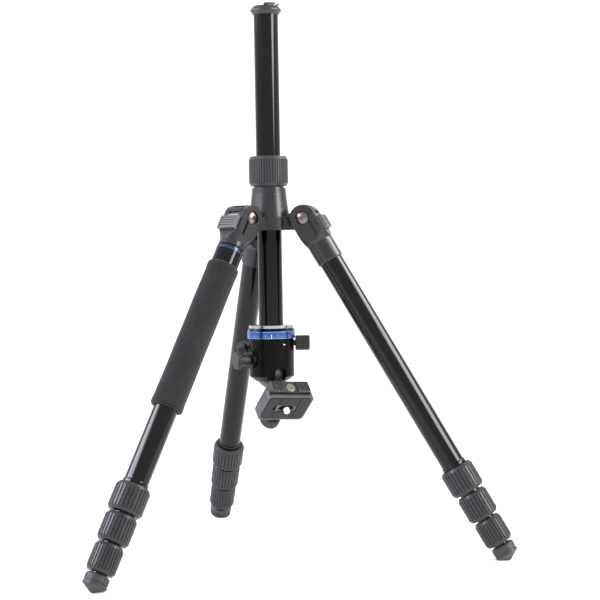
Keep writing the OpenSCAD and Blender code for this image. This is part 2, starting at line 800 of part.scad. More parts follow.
module rear_fork() { color("#303134") on_leg(2) fork_form(sleeve_end); }
module rear_tab() { color("#55565a") on_leg(2) tab_form(); }
module rear_tube_1() { color("#0c0c0e") on_leg(2) tube_form(0); }
module rear_lock_1() { color("#47484c") on_leg(2) lock_form(0); }
module rear_tube_2() { color("#0e0e10") on_leg(2) tube_form(1); }
module rear_lock_2() { color("#47484c") on_leg(2) lock_form(1); }
module rear_tube_3() { color("#0e0e10") on_leg(2) tube_form(2); }
module rear_lock_3() { color("#47484c") on_leg(2) lock_form(2); }
module rear_tube_4() { color("#0e0e10") on_leg(2) tube_form(3); }
module rear_foot() { color("#3d3e41") on_leg(2) foot_form(); }

// The ball head is drawn about the ball's centre
module about_ball() {
  translate([0, 0, ball_z]) rotate([0, 0, head_turn]) children();
}

// Outward along z at a compass angle and a height above the ball's centre
module outward(turn, up) {
  translate([0, 0, ball_z + up]) rotate([0, 0, turn]) rotate([90, 0, 0]) children();
}

// Outward along the drag knob's axis, which dips where it leaves the housing
module drag_line() {
  outward(drag_knob_turn, drag_knob_up) translate([0, 0, housing_r]) rotate([drag_dip, 0, 0])
    translate([0, 0, -housing_r]) children();
}

module head_stud() {
  tip = stud_r * tip_share;
  color("#8d8c88") rotate_extrude() polygon([
    [0, disc_z - stud_out + clear], [stud_r - tip, disc_z - stud_out + clear],
    [stud_r, disc_z - stud_out + clear + tip], [stud_r, disc_z + stud_in - clear - tip],
    [stud_r - tip, disc_z + stud_in - clear], [0, disc_z + stud_in - clear]
  ]);
}

// The bright base disc, with the spigot that the housing turns on
module head_disc() {
  color("#c4c6ca") difference() {
    union() {
      translate([0, 0, ring_z]) cylinder(r = pan_r - pan_bevel, h = disc_h);
      translate([0, 0, ring_z - pan_h - spigot_h])
        cylinder(r = spigot_r, h = pan_h + spigot_h + disc_h);
    }
    translate([0, 0, disc_z - stud_out]) cylinder(r = stud_r + seat, h = stud_out + over);
  }
}

module pan_ring() {
  color("#2f62b8") difference() {
    translate([0, 0, ring_z - pan_h]) rotate_extrude() polygon([
      [0, 0], [pan_r, 0], [pan_r, pan_h - 2 * pan_bevel], [pan_r - pan_bevel, pan_h], [0, pan_h]
    ]);
    translate([0, 0, ring_z - pan_h - over])
      cylinder(r = spigot_r + seat, h = pan_h + 2 * over);
  }
}

module notch_cut() {
  half = stem_r + notch_gap;
  rotate([90, 0, 0]) cylinder(r = half, h = housing_r + over);
  translate([-half, -housing_r - over, -mouth_down - over])
    cube([2 * half, housing_r + over, mouth_down + over]);
}

// The housing: a mouth that holds the ball, a drop notch for the stem, and bores for
// the base's spigot and the three knobs
module housing() {
  color("#141416") difference() {
    union() {
      about_ball() rotate_extrude() polygon([
        [0, -mouth_down], [mouth_r + rim_w, -mouth_down], [housing_r, rim_bevel - mouth_down],
        [housing_r, housing_top - knob_bevel], [housing_r - knob_bevel, housing_top],
        [0, housing_top]
      ]);
      outward(lock_knob_turn, lock_knob_up) cylinder(r = boss_r, h = boss_end);
    }
    about_ball() {
      sphere(r = cavity_r, $fn = 96);
      cylinder(r = cavity_r, h = cavity_r);
      notch_cut();
      translate([0, 0, housing_top - spigot_h])
        cylinder(r = spigot_r + run, h = spigot_h + over);
    }
    outward(lock_knob_turn, lock_knob_up) translate([0, 0, ball_r / 2])
      cylinder(r = shaft_r + run, h = boss_end);
    drag_line() translate([0, 0, drag_floor_r]) cylinder(r = shaft_r + run, h = housing_r);
    outward(pan_knob_turn, pan_knob_up) translate([0, 0, spigot_r - over])
      cylinder(r = shaft_r + run, h = housing_r);
  }
}

// The cup that presses on the ball when its knob is turned
module ball_cup() {
  low = cavity_r / 3;
  color("#d8d6cf") about_ball() difference() {
    translate([0, 0, low]) cylinder(r = cavity_r - seat, h = cavity_r - low - seat);
    sphere(r = cavity_r, $fn = 96);
  }
}

// A fluted knob on a shaft: z runs outward, and the head fills from near to far
module knob_form(r, near, far, shaft_from) {
  translate([0, 0, near])
    ribbed(r, far - near, knob_bevel, knob_bevel, knob_ribs, knob_groove);
  translate([0, 0, shaft_from]) cylinder(r = shaft_r, h = near - shaft_from + over);
}

module ball_lock_knob() {
  near = lock_knob_end - lock_knob_h;
  color("#2c2c2e") outward(lock_knob_turn, lock_knob_up) {
    knob_form(lock_knob_r, near, lock_knob_end, cavity_r + clear);
    translate([0, 0, boss_end + clear])
      cylinder(r1 = lock_barrel_r - knob_bevel, r2 = lock_barrel_r, h = near - boss_end);
  }
}

module drag_knob() {
  near = housing_r + drag_knob_r * tan(drag_dip) + 2 * clear;
  color("#2c2c2e") drag_line()
    knob_form(drag_knob_r, near, drag_knob_end, drag_floor_r + clear);
}

module pan_lock_knob() {
  color("#2c2c2e") outward(pan_knob_turn, pan_knob_up)
    knob_form(pan_knob_r, pan_knob_from, pan_knob_from + pan_knob_h, spigot_r + clear);
}

// The clamp's frame: z from the ball's centre out along the stem, x along the jaws,
// and +y to the fixed jaw
module on_stem() {
  about_ball() rotate([180 - head_tilt, 0, 0]) rotate([0, 0, -head_spin]) children();
}

module ball() {
  depth = ball_r * bore_share;
  color("#55565a") on_stem() difference() {
    sphere(r = ball_r, $fn = 96);
    translate([0, 0, ball_r - depth]) cylinder(r = stem_pin_r + run, h = depth + over);
  }
}

module stem() {
  depth = ball_r * bore_share - clear;
  neck = clamp_from - stem_r;
  color("#6a6b6f") on_stem() rotate_extrude() polygon([
    [0, ball_r - depth], [stem_pin_r, ball_r - depth], [stem_pin_r, ball_r + clear],
    [stem_r, ball_r + clear], [stem_r, neck], [stem_r * stem_foot_share, clamp_from], [0, clamp_from]
  ]);
}

// Half the clamp's groove for the dovetail, in y and z, opened by the jaw clearance
function groove_y(share) = plate_half - flank_h * (1 - share) + jaw_gap;

module clamp_body() {
  half = clamp_len / 2;
  pitch = (half - recess_half) / (clamp_grooves + groove_shares[1]);
  color("#2a2a2d") on_stem() difference() {
    rotate([90, 0, 90]) linear_extrude(height = clamp_len, center = true) polygon([
      [-floor_half, clamp_from], [clamp_half - clamp_bevel, clamp_from],
      [clamp_half, clamp_from + clamp_bevel], [clamp_half, clamp_top + jaw_h - clamp_bevel],
      [clamp_half - clamp_bevel, clamp_top + jaw_h], [groove_y(0), clamp_top + jaw_h],
      [groove_y(0), plate_from + 2 * flank_h], [groove_y(1), plate_from + flank_h],
      [groove_y(0), plate_from], [groove_y(0), clamp_top], [-floor_half, clamp_top]
    ]);
    for (m = [0, 1]) mirror([m, 0, 0]) for (k = [0 : clamp_grooves - 1])
      translate([recess_half + (k + groove_shares[0]) * pitch, clamp_half - clamp_groove, clamp_from - over])
        cube([pitch * groove_shares[1], clamp_groove + over, clamp_floor + jaw_h + 2 * over]);
    translate([-recess_half, clamp_half - recess_h, clamp_from - over])
      cube([2 * recess_half, recess_h + over, clamp_floor + jaw_h + 2 * over]);
    translate([0, clamp_half - recess_h - bubble_h, clamp_from + bubble_up])
      rotate([-90, 0, 0]) cylinder(r = bubble_r + seat, h = bubble_h + recess_h + over);
    translate([0, -floor_half - over, screw_z]) rotate([-90, 0, 0])
      cylinder(r = clamp_screw_r + run, h = floor_half + over + clear);
  }
}

module clamp_jaw() {
  low = clamp_from + clamp_bevel / 2;
  inner = floor_half + jaw_gap;
  color("#2a2a2d") on_stem() difference() {
    rotate([90, 0, 90]) linear_extrude(height = clamp_len, center = true) polygon([
      [-inner, low], [clamp_bevel - clamp_half, low], [-clamp_half, low + clamp_bevel],
      [-clamp_half, clamp_top + jaw_h - clamp_bevel],
      [clamp_bevel - clamp_half, clamp_top + jaw_h], [-groove_y(0), clamp_top + jaw_h],
      [-groove_y(0), plate_from + 2 * flank_h], [-groove_y(1), plate_from + flank_h],
      [-groove_y(0), plate_from], [-inner, plate_from]
    ]);
    translate([0, -clamp_half - over, screw_z]) rotate([-90, 0, 0])
      cylinder(r = clamp_screw_r + run, h = clamp_half);
  }
}

module clamp_knob() {
  color("#38393c") on_stem() translate([0, 0, screw_z]) rotate([90, 0, 0]) {
    translate([0, 0, knob_from])
      ribbed(clamp_knob_r, clamp_knob_h, knob_bevel * 2, knob_bevel * 2, knob_ribs, knob_groove);
    translate([0, 0, clear]) cylinder(r = clamp_screw_r, h = knob_from);
  }
}

module bubble_level() {
  color("#b9c24a") on_stem() translate([0, clamp_half - recess_h - bubble_h, clamp_from + bubble_up])
    rotate([-90, 0, 0]) cylinder(r = bubble_r, h = bubble_h + bubble_out);
}

module plate_outline(inset) {
  x = plate_len / 2 - inset;
  y = plate_half - inset;
  r = plate_corner - inset / 2;
  square([2 * (x - r), 2 * y], center = true);
  square([2 * x, 2 * (y - r)], center = true);
  for (sx = [-1, 1]) for (sy = [-1, 1]) translate([sx * (x - r), sy * (y - r)]) circle(r = r);
}

// A slot of half width half and length len along x, cut from z0 to z1
module long_slot(half, len, z0, z1) {
  reach = len / 2 - half;
  for (s = [-1, 1]) translate([s * reach, 0, z0]) cylinder(r = half, h = z1 - z0);
  translate([-reach, -half, z0]) cube([2 * reach, 2 * half, z1 - z0]);
}

// The dovetail plate: flanks at 45 degrees below, a slot for the screw, and a pocket
// underneath for the screw's head
module plate() {
  w = plate_half;
  n = plate_half - flank_h;
  rim_from = clamp_top + jaw_h + plate_gap;
  color("#3a3b3e") on_stem() difference() {
    intersection() {
      rotate([90, 0, 90]) linear_extrude(height = plate_len, center = true) polygon([
        [-n, plate_from], [n, plate_from], [w, plate_from + flank_h],
        [n, plate_from + 2 * flank_h], [n, rim_from], [w, rim_from], [w, plate_top],
        [-w, plate_top], [-w, rim_from], [-n, rim_from],
        [-n, plate_from + 2 * flank_h], [-w, plate_from + flank_h]
      ]);
      translate([0, 0, plate_from]) linear_extrude(height = plate_h) plate_outline(0);
    }
    long_slot(slot_half, slot_len, plate_from - over, plate_top + over);
    long_slot(camera_head_r + clear, slot_len + 2 * (camera_head_r - slot_half),
      plate_from - over, plate_from + head_pocket + clear);
    translate([-cross_from, 0, 0]) rotate([0, 0, 90])
      long_slot(cross_w / 2, cross_len, plate_top - cross_h, plate_top + over);
  }
}

// Rubber pads on the plate's face, split by the slot and two cross gaps
module plate_pads() {
  gap = slot_half + pad_h;
  bar = pad_edge / 2;
  color("#242426") on_stem() translate([0, 0, plate_top]) linear_extrude(height = pad_h)
    difference() {
      plate_outline(pad_edge);
      square([slot_len + 2 * pad_edge, 2 * gap], center = true);
      translate([-cross_from - cross_w / 2 - pad_h, -cross_len / 2 - pad_h])
        square([cross_from, cross_len + 2 * pad_h]);
      for (s = [-1, 1]) translate([s * (slot_len / 2 + pad_edge), 0])
        square([bar, 2 * plate_w], center = true);
    }
}

module camera_screw() {
  low = plate_from + clear / 2;
  face = plate_top + pad_h;
  top = face + camera_screw_up;
  tip = camera_screw_r * tip_share;
  slit = camera_screw_r * driver_share;
  color("#d0cfca") on_stem() difference() {
    rotate_extrude() polygon([
      [0, low], [camera_head_r, low], [camera_head_r, low + camera_head_h],
      [camera_shank_r, low + camera_head_h], [camera_shank_r, face], [camera_screw_r, face],
      [camera_screw_r, top - tip],
      [camera_screw_r - tip, top], [0, top]
    ]);
    translate([-camera_head_r - over, -slit / 2, low - over])
      cube([2 * (camera_head_r + over), slit, over + camera_head_h / 2]);
  }
}

spider();
column_bush();
pivot_bolts();
column_collar();
column_tube();
column_plug();
column_cap();
cap_ring();
head_stud();
right_fork();
right_tab();
right_tube_1();
right_lock_1();
right_tube_2();
right_lock_2();
right_tube_3();
right_lock_3();
right_tube_4();
right_foot();
left_fork();
left_tab();
left_band();
left_cuff();
left_grip();
left_tube_1();
left_lock_1();
left_tube_2();
left_lock_2();
left_tube_3();
left_lock_3();
left_tube_4();
left_foot();
rear_fork();
rear_tab();
rear_tube_1();
rear_lock_1();
rear_tube_2();
rear_lock_2();
rear_tube_3();
rear_lock_3();
rear_tube_4();
rear_foot();
head_disc();
pan_ring();
housing();
ball_cup();
ball_lock_knob();
drag_knob();
pan_lock_knob();
ball();
stem();
clamp_body();
clamp_jaw();
clamp_knob();
bubble_level();
plate();
plate_pads();
camera_screw();
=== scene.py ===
# %% [markdown]
# # A travel tripod, from solids to surfaces
# The tripod's solids come from its CAD model and already stand where they belong. This
# lesson dresses them: every surface gets the finish that the real one has, and the few
# pieces that a solid model leaves plain, such as a screw's thread or the foam of the grip,
# are worked out here as surfaces.

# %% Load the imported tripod
import json
import math

import bmesh
import bpy
import numpy as np
from mathutils import Matrix, Vector


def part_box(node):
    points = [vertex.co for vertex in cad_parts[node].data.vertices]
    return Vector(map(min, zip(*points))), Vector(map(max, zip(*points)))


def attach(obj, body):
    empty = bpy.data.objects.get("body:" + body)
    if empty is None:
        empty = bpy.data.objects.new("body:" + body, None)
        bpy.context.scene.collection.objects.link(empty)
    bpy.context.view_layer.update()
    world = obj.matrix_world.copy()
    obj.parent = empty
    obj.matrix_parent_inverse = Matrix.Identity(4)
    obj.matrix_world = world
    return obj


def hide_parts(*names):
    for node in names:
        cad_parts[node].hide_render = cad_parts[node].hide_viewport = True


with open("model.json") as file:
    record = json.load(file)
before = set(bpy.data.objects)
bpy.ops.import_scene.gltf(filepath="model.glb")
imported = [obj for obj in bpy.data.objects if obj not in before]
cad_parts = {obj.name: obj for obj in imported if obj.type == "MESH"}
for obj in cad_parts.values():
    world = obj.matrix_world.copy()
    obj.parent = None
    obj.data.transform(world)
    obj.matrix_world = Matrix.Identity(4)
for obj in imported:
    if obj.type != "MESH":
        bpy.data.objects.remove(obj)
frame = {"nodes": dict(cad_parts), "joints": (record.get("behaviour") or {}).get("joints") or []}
bpy.context.view_layer.update()
nodes = frame["nodes"]
MM = 0.001

# %% [markdown]
# The joints of the tripod know where its axes are. A leg's swing gives its pivot and a
# lock's twist gives the line down the leg, so each frame below is read from the joints and
# follows the CAD model if that changes.

# %% Read the axes from the joints
joints = {joint["name"]: joint for joint in frame["joints"]}


def frame_at(origin, along, side):
    """Three axes at a point: z is along, y is side made square to it, and x = y cross z."""
    z = np.array(along, float) / np.linalg.norm(along)
    y = np.array(side, float) - z * np.dot(side, z)
    y /= np.linalg.norm(y)
    return np.array(origin, float), np.stack([np.cross(y, z), y, z], axis=1)


def leg_frame(leg):
    """z runs from the pivot to the foot, y is the pivot bolt, and -x faces up and out."""
    swing, twist = joints[leg + "_leg_swing"], joints[leg + "_lock_1_twist"]
    return frame_at(swing["pos_m"], twist["axis"], -np.array(swing["axis"]))


LEGS = {leg: leg_frame(leg) for leg in ("right", "left", "rear")}
clamp_joint, knob_joint = joints["clamp_spin"], joints["clamp_knob_turn"]
CLAMP = frame_at(clamp_joint["pos_m"], clamp_joint["axis"], -np.array(knob_joint["axis"]))
COLUMN = frame_at((0, 0, 0), (0, 0, 1), (0, 1, 0))
print("pivot height:", round(LEGS["right"][0][2] / MM, 1), "mm, ball height:",
      round(CLAMP[0][2] / MM, 1), "mm")

# %% [markdown]
# The camera stands a little under the height of the legs' pivots, about 15 degrees round
# to the left of the tripod's front, and looks slightly down. Its place comes from the
# lines of the column and the legs, which only meet the photograph's from there.

# %% Place the camera
FRAME_PX = 600
FOCAL_PX = 1535.4
SENSOR_MM = 36
CAMERA_AT = Vector((-0.4393, -1.5816, 0.3203))
camera_data = bpy.data.cameras.new("photo_camera")
camera = bpy.data.objects.new("photo_camera", camera_data)
bpy.context.scene.collection.objects.link(camera)
bpy.context.scene.camera = camera
camera_data.sensor_width = SENSOR_MM
camera_data.clip_start = 0.02
camera_data.lens = SENSOR_MM * FOCAL_PX / FRAME_PX
camera_right = np.array([0.957962, -0.28639, -0.016988])
camera_up = np.array([0.024726, 0.023422, 0.99942])
turned_axes = Matrix(np.stack([camera_right, camera_up, np.cross(camera_right, camera_up)],
                              axis=1).tolist())
camera.matrix_world = Matrix.LocRotScale(CAMERA_AT, turned_axes.to_quaternion(), None)
print("lens:", round(camera_data.lens, 1), "mm")

# %% [markdown]
# Three small helpers serve every finish. One turns a colour as it is written, in sRGB,
# into the linear numbers that a shader works with. One makes a material with no nodes. The
# last adds one node, with its settings and links, to a material or to the world.

# %% Helpers for the finishes


def linear(code):
    """Linear RGB and 1 from #rrggbb: a channel c becomes ((c + 0.055) / 1.055) ** 2.4."""
    channels = np.array([int(code[i:i + 2], 16) for i in (1, 3, 5)]) / 255
    low = channels / 12.92
    high = ((channels + 0.055) / 1.055) ** 2.4
    return (*np.where(channels <= 0.04045, low, high).tolist(), 1.0)


def empty_material(name):
    """A material that has no shader nodes yet."""
    material = bpy.data.materials.new(name)
    material.use_nodes = True
    material.node_tree.nodes.clear()
    return material


def add(owner, kind, sockets=None, **settings):
    """Add a shader node to a material or the world: settings are its properties, and
    sockets maps an input's name or number to a value, or to the output that feeds it."""
    node = owner.node_tree.nodes.new("ShaderNode" + kind)
    for key, value in settings.items():
        setattr(node, key, value)
    for key, value in (sockets or {}).items():
        if isinstance(value, bpy.types.NodeSocket):
            owner.node_tree.links.new(value, node.inputs[key])
        else:
            node.inputs[key].default_value = value
    return node


print("white:", linear("#ffffff")[:3], "mid grey:", round(linear("#808080")[0], 3))

# %% [markdown]
# Most of the tripod is one of a few hard finishes: anodised aluminium, powder coat, rubber
# or moulded plastic. They differ in numbers more than in kind. Each is a colour with a
# slow drift across the piece, a fine grain at its real size, and edges that are slightly
# rounded and painted paler: partly the wear of hands, partly a painted highlight where a
# rounded edge would catch the light. So one function builds them all from those numbers,
# and each finish below is one call with the reason for its numbers beside it.

# %% The function for a hard finish
DRIFT_MM = 35
DRAWN_STRETCH = 0.02
COAT_ROUGHNESS = 0.09
# The dot product of the two normals where an edge starts to be painted paler, as wear and
# painted highlight, and where it is full
EDGE_STARTS, EDGE_FULL = 0.985, 0.8
# A noise mostly lies between these two, and roughness follows it by this share each way
NOISE_LOW, NOISE_HIGH, ROUGH_SHARE = 0.3, 0.7, 0.15


def hard_finish(name, colour, worn_lit_edge_colour, roughness, grain_mm, grain_depth_mm, drift=0.12,
                wear_and_highlight=0.5, round_mm=0.3, stretch=None, metallic=0.0, gloss=0.5, coat=0.0):
    """Colour times (1 + 4 * drift * slow noise), mixed to the pale edge colour, part wear and
    part painted highlight, where the Bevel node's rounded normal leaves the face's own;
    roughness and height follow a noise of grain_mm.
    A stretch is the axes of a drawn tube, whose grain runs along the last of them."""
    material = empty_material(name)
    place = add(material, "TexCoord").outputs["Object"]
    if stretch is not None:
        turn = Matrix(stretch.T.tolist()).to_euler()
        aligned = add(material, "Mapping", {"Vector": place, "Rotation": turn})
        place = add(material, "Mapping", {"Vector": aligned.outputs[0],
                                          "Scale": (1, 1, DRAWN_STRETCH)}).outputs[0]
    slow = add(material, "TexNoise", {"Vector": place, "Scale": 1 / (DRIFT_MM * MM),
                                      "Detail": 3})
    grain = add(material, "TexNoise", {"Vector": place, "Scale": 1 / (grain_mm * MM),
                                       "Detail": 2})
    paler = add(material, "Mix", {0: slow.outputs["Fac"], 6: linear(colour),
                                  7: tuple(c * (1 + 4 * drift) for c in linear(colour)[:3])
                                  + (1,)}, data_type="RGBA")
    rounded = add(material, "Bevel", {"Radius": round_mm * MM}, samples=4)
    face = add(material, "NewGeometry")
    same = add(material, "VectorMath", {0: rounded.outputs[0], 1: face.outputs["Normal"]},
               operation="DOT_PRODUCT")
    # Paler edges: partly wear, partly a painted highlight on the rounded edge
    worn_lit_edge = add(material, "MapRange", {0: same.outputs["Value"], 1: EDGE_STARTS,
                                      2: EDGE_FULL, 3: 0.0, 4: wear_and_highlight})
    patchy = add(material, "Math", {0: worn_lit_edge.outputs[0], 1: grain.outputs["Fac"]},
                 operation="MULTIPLY")
    mixed = add(material, "Mix", {0: patchy.outputs[0], 6: paler.outputs[2],
                                  7: linear(worn_lit_edge_colour)}, data_type="RGBA")
    rough = add(material, "MapRange", {0: grain.outputs["Fac"], 1: NOISE_LOW, 2: NOISE_HIGH,
                                       3: roughness * (1 - ROUGH_SHARE),
                                       4: min(1, roughness * (1 + ROUGH_SHARE))})
    relief = add(material, "Bump", {"Height": grain.outputs["Fac"],
                                    "Distance": grain_depth_mm * MM,
                                    "Normal": rounded.outputs[0]})
    shade = add(material, "BsdfPrincipled", {"Base Color": mixed.outputs[2],
                                             "Roughness": rough.outputs[0],
                                             "Metallic": metallic,
                                             "Specular IOR Level": gloss,
                                             "Coat Weight": coat,
                                             "Coat Roughness": COAT_ROUGHNESS,
                                             "Normal": relief.outputs[0]})
    out = add(material, "OutputMaterial", {"Surface": shade.outputs[0]})
    out.is_active_output = True
    return material


dressed = set()


def dress(material, *names):
    """Give CAD nodes a finish: the material goes into every slot of each node's mesh."""
    for name in names:
        slots = nodes[name].data.materials
        if len(slots) == 0:
            slots.append(material)
        for index in range(len(slots)):
            slots[index] = material
        dressed.add(name)


# %% [markdown]
# The leg tubes and the column are drawn aluminium tube, dyed black in the anodising bath
# and sealed to a high gloss. The dye makes them nearly black, and the sealed oxide gives
# the eye two long sharp highlights. Drawing leaves fine lines along the tube, so the grain
# is stretched along each tube's own axis. Real die lines are 0.05 mm apart: they are drawn
# at 0.8 mm, or they wouldn't show.

# %% Gloss black anodised tube
tube_finish = {}
for leg, (_, axes) in LEGS.items():
    tube_black = hard_finish("anodised_tube_" + leg, "#050507", "#1d1d21", 0.13, 0.8, 0.004,
                             stretch=axes, gloss=0.26)
    dress(tube_black, *[f"{leg}_tube_{k}" for k in (1, 2, 3, 4)])
    tube_finish[leg] = tube_black
column_black = hard_finish("anodised_column", "#050507", "#1d1d21", 0.12, 0.8, 0.004,
                           stretch=COLUMN[1], gloss=0.26)
dress(column_black, "column_tube", "column_plug", "left_cuff")
print("tubes dressed:", len(dressed))

# %% [markdown]
# The casting and the forks are magnesium or aluminium castings with a baked powder coat:
# a satin black-grey with a faint orange peel about a millimetre across. The angle tabs are
# blasted before anodising, so they are a lighter grey with a grain like fine sand.

# %% Castings and tabs
powder_coat = hard_finish("powder_coat", "#18181b", "#4a4a4e", 0.3, 1.1, 0.02,
                          round_mm=0.5, wear_and_highlight=0.35, gloss=0.45)
dress(powder_coat, "spider", "right_fork", "left_fork", "rear_fork")
blasted = hard_finish("blasted_aluminium", "#4b4b4f", "#98989b", 0.44, 0.35, 0.02,
                      round_mm=0.4, wear_and_highlight=0.7, metallic=0.35)
dress(blasted, "right_tab", "left_tab", "rear_tab")
print("castings dressed:", len(dressed))

# %% [markdown]
# Twist locks, the column's collar and the feet are moulded in a rubber-like elastomer.
# It has little gloss, a dusty grey bloom and a grain from the mould. The crests of the
# ribs are painted paler, partly as wear and partly as a painted highlight, which is what
# makes ribs easy to see on a black tripod.

# %% Rubber of locks, collar and feet
lock_rubber = hard_finish("elastomer", "#222225", "#66666a", 0.4, 0.5, 0.03, wear_and_highlight=0.6,
                          round_mm=0.35, gloss=0.4)
dress(lock_rubber, *[f"{leg}_lock_{k}" for leg in LEGS for k in (1, 2, 3)])
collar_rubber = hard_finish("collar_elastomer", "#29292c", "#6c6c70", 0.4, 0.5, 0.03,
                            wear_and_highlight=0.6, round_mm=0.35, gloss=0.4)
dress(collar_rubber, "column_collar")
foot_rubber = hard_finish("foot_rubber", "#29292b", "#6a6a6d", 0.48, 0.7, 0.05, drift=0.2,
                          wear_and_highlight=0.6, round_mm=0.5, gloss=0.4)
dress(foot_rubber, *[leg + "_foot" for leg in LEGS])
print("rubber dressed:", len(dressed))

# %% [markdown]
# The pivot bolts and the head's stud are stainless steel, tumbled until they shine. The
# ring on the cap is plain steel wire. The disc under the column's end is turned aluminium,
# left bright.

# %% Bright metals
stainless = hard_finish("stainless_steel", "#68615d", "#c0bab5", 0.26, 0.6, 0.004, wear_and_highlight=0.2,
                        round_mm=0.4, metallic=1.0)
dress(stainless, "pivot_bolts", "head_stud")
wire = hard_finish("spring_wire", "#8c8c8e", "#c8c8c8", 0.3, 0.4, 0.01, wear_and_highlight=0.6,
                   metallic=1.0)
dress(wire, "cap_ring")
turned_disc = hard_finish("turned_aluminium", "#9a9ca2", "#ffffff", 0.22, 0.7, 0.006,
                          metallic=1.0)
dress(turned_disc, "head_disc")

# %% [markdown]
# Inside, a bush of black acetal guides the column and a cup of white nylon presses on the
# ball. Both are moulded, and hidden until the tripod is taken apart. The cap is moulded
# ABS.

# %% Moulded plastics
acetal = hard_finish("acetal", "#17171a", "#3a3a3d", 0.4, 0.6, 0.01)
dress(acetal, "column_bush")
nylon = hard_finish("nylon", "#dcd8cd", "#f2efe8", 0.5, 0.8, 0.01)
dress(nylon, "ball_cup")
cap_plastic = hard_finish("abs_plastic", "#202023", "#55555a", 0.4, 0.9, 0.015,
                          round_mm=0.5)
dress(cap_plastic, "column_cap")

# %% [markdown]
# The ball head is machined from bar and anodised. Its housing is a satin black. The ball
# and its stem are hard anodised, which is greyer. The clamp and the dovetail plate are
# greyer too, and their edges are painted pale: partly wear, partly a painted highlight.
# The pads and the knobs are rubber.

# %% Ball head, clamp and plate
head_black = hard_finish("satin_anodised", "#030304", "#4a4a4e", 0.3, 0.4, 0.006,
                         round_mm=0.4, wear_and_highlight=0.4, gloss=0.1)
dress(head_black, "housing")
hard_grey = hard_finish("hard_anodised", "#4a4b4f", "#85868a", 0.36, 0.4, 0.006,
                        metallic=0.4)
dress(hard_grey, "ball", "stem")
# Their edges are painted pale, strongly: partly wear, partly a painted highlight.
clamp_grey = hard_finish("clamp_anodised", "#313133", "#9a9a9e", 0.38, 0.4, 0.01,
                         round_mm=0.5, wear_and_highlight=0.8, metallic=0.3)
dress(clamp_grey, "clamp_body", "clamp_jaw")
plate_grey = hard_finish("plate_anodised", "#48484b", "#b2b2b6", 0.38, 0.35, 0.012,
                         round_mm=0.5, wear_and_highlight=1.0, metallic=0.3)
dress(plate_grey, "plate")
pad_rubber = hard_finish("pad_rubber", "#27272a", "#4f4f54", 0.7, 0.5, 0.04,
                         gloss=0.3)
dress(pad_rubber, "plate_pads")
knob_rubber = hard_finish("knob_rubber", "#29292b", "#606062", 0.46, 0.4, 0.02,
                          wear_and_highlight=0.5, round_mm=0.3, gloss=0.35)
dress(knob_rubber, "ball_lock_knob", "drag_knob", "pan_lock_knob")

# %% [markdown]
# The panning ring and the band on the unscrewing leg are anodised blue: dyed oxide over
# polished metal, so the metal's own reflection comes back coloured. The band's rims are
# painted pale, partly as wear and partly as a painted highlight. The panning ring's top is
# painted dark navy, and a thin pale line is painted round each rim as a painted highlight.
# It also has a scale: a pale line every five degrees, longer at every thirty, and one white
# line for zero. The lines are worked out from the angle round the column.

# %% Blue anodised rings
TURN_DEG = 360
ZERO_DEG, INDEX_DEG = -105, -71
# The height of the ring's dark navy top, and the half width of each painted rim highlight
DARK_TOP_MM, RIM_HIGHLIGHT_MM = 3.4, 0.25
LINE_AT, WHOLE_SPACINGS = 0.5, 100
# The band's rounded rims are painted pale blue-white: partly wear, partly a painted highlight.
blue_ring = hard_finish("blue_anodised", "#314256", "#c3d0e2", 0.24, 0.7, 0.004, drift=0.05,
                        metallic=0.85, wear_and_highlight=0.9, round_mm=0.5)
dress(blue_ring, "left_band")
scale_ring = hard_finish("blue_anodised_scale", "#365a91", "#a9bfe6", 0.24, 0.7, 0.004,
                         drift=0.05, metallic=0.9)


def angle_lines(material, every_deg, width_deg, low_mm, high_mm, offset_deg=0.0):
    """1 on lines cut across a ring round the column: the angle round the z axis, divided
    by the spacing, has a fraction within the line's share of it, between two heights. The
    line is at LINE_AT of a spacing, and WHOLE_SPACINGS keeps the sum above zero."""
    place = add(material, "SeparateXYZ",
                {0: add(material, "TexCoord").outputs["Object"]})
    angle = add(material, "Math", {0: place.outputs["Y"], 1: place.outputs["X"]},
                operation="ARCTAN2")
    spaced = add(material, "Math", {0: angle.outputs[0], 1: 1 / math.radians(every_deg),
                                    2: LINE_AT + WHOLE_SPACINGS - offset_deg / every_deg},
                 operation="MULTIPLY_ADD")
    part = add(material, "Math", {0: spaced.outputs[0]}, operation="FRACT")
    near = add(material, "Math", {0: part.outputs[0], 1: LINE_AT,
                                  2: width_deg / every_deg / 2}, operation="COMPARE")
    within = add(material, "Math", {0: place.outputs["Z"],
                                    1: (low_mm + high_mm) / 2 * MM,
                                    2: (high_mm - low_mm) / 2 * MM}, operation="COMPARE")
    return add(material, "Math", {0: near.outputs[0], 1: within.outputs[0]},
               operation="MULTIPLY").outputs[0]


def paint_over(material, mask, colour):
    """Mix a colour over the shader's base colour where the mask is 1."""
    shade = next(n for n in material.node_tree.nodes if n.type == "BSDF_PRINCIPLED")
    under = shade.inputs["Base Color"].links[0].from_socket
    over = add(material, "Mix", {0: mask, 6: under, 7: linear(colour)}, data_type="RGBA")
    material.node_tree.links.new(over.outputs[2], shade.inputs["Base Color"])


ring_low, ring_high = (corner.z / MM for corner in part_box("pan_ring"))
# Each mark: spacing and width in degrees, two heights in mm, offset in degrees, paint
# The top 3.4 mm of the ring is painted dark navy
ring_marks = [(TURN_DEG, TURN_DEG, ring_high - DARK_TOP_MM, ring_high + 1, 0, "#0c1222")]
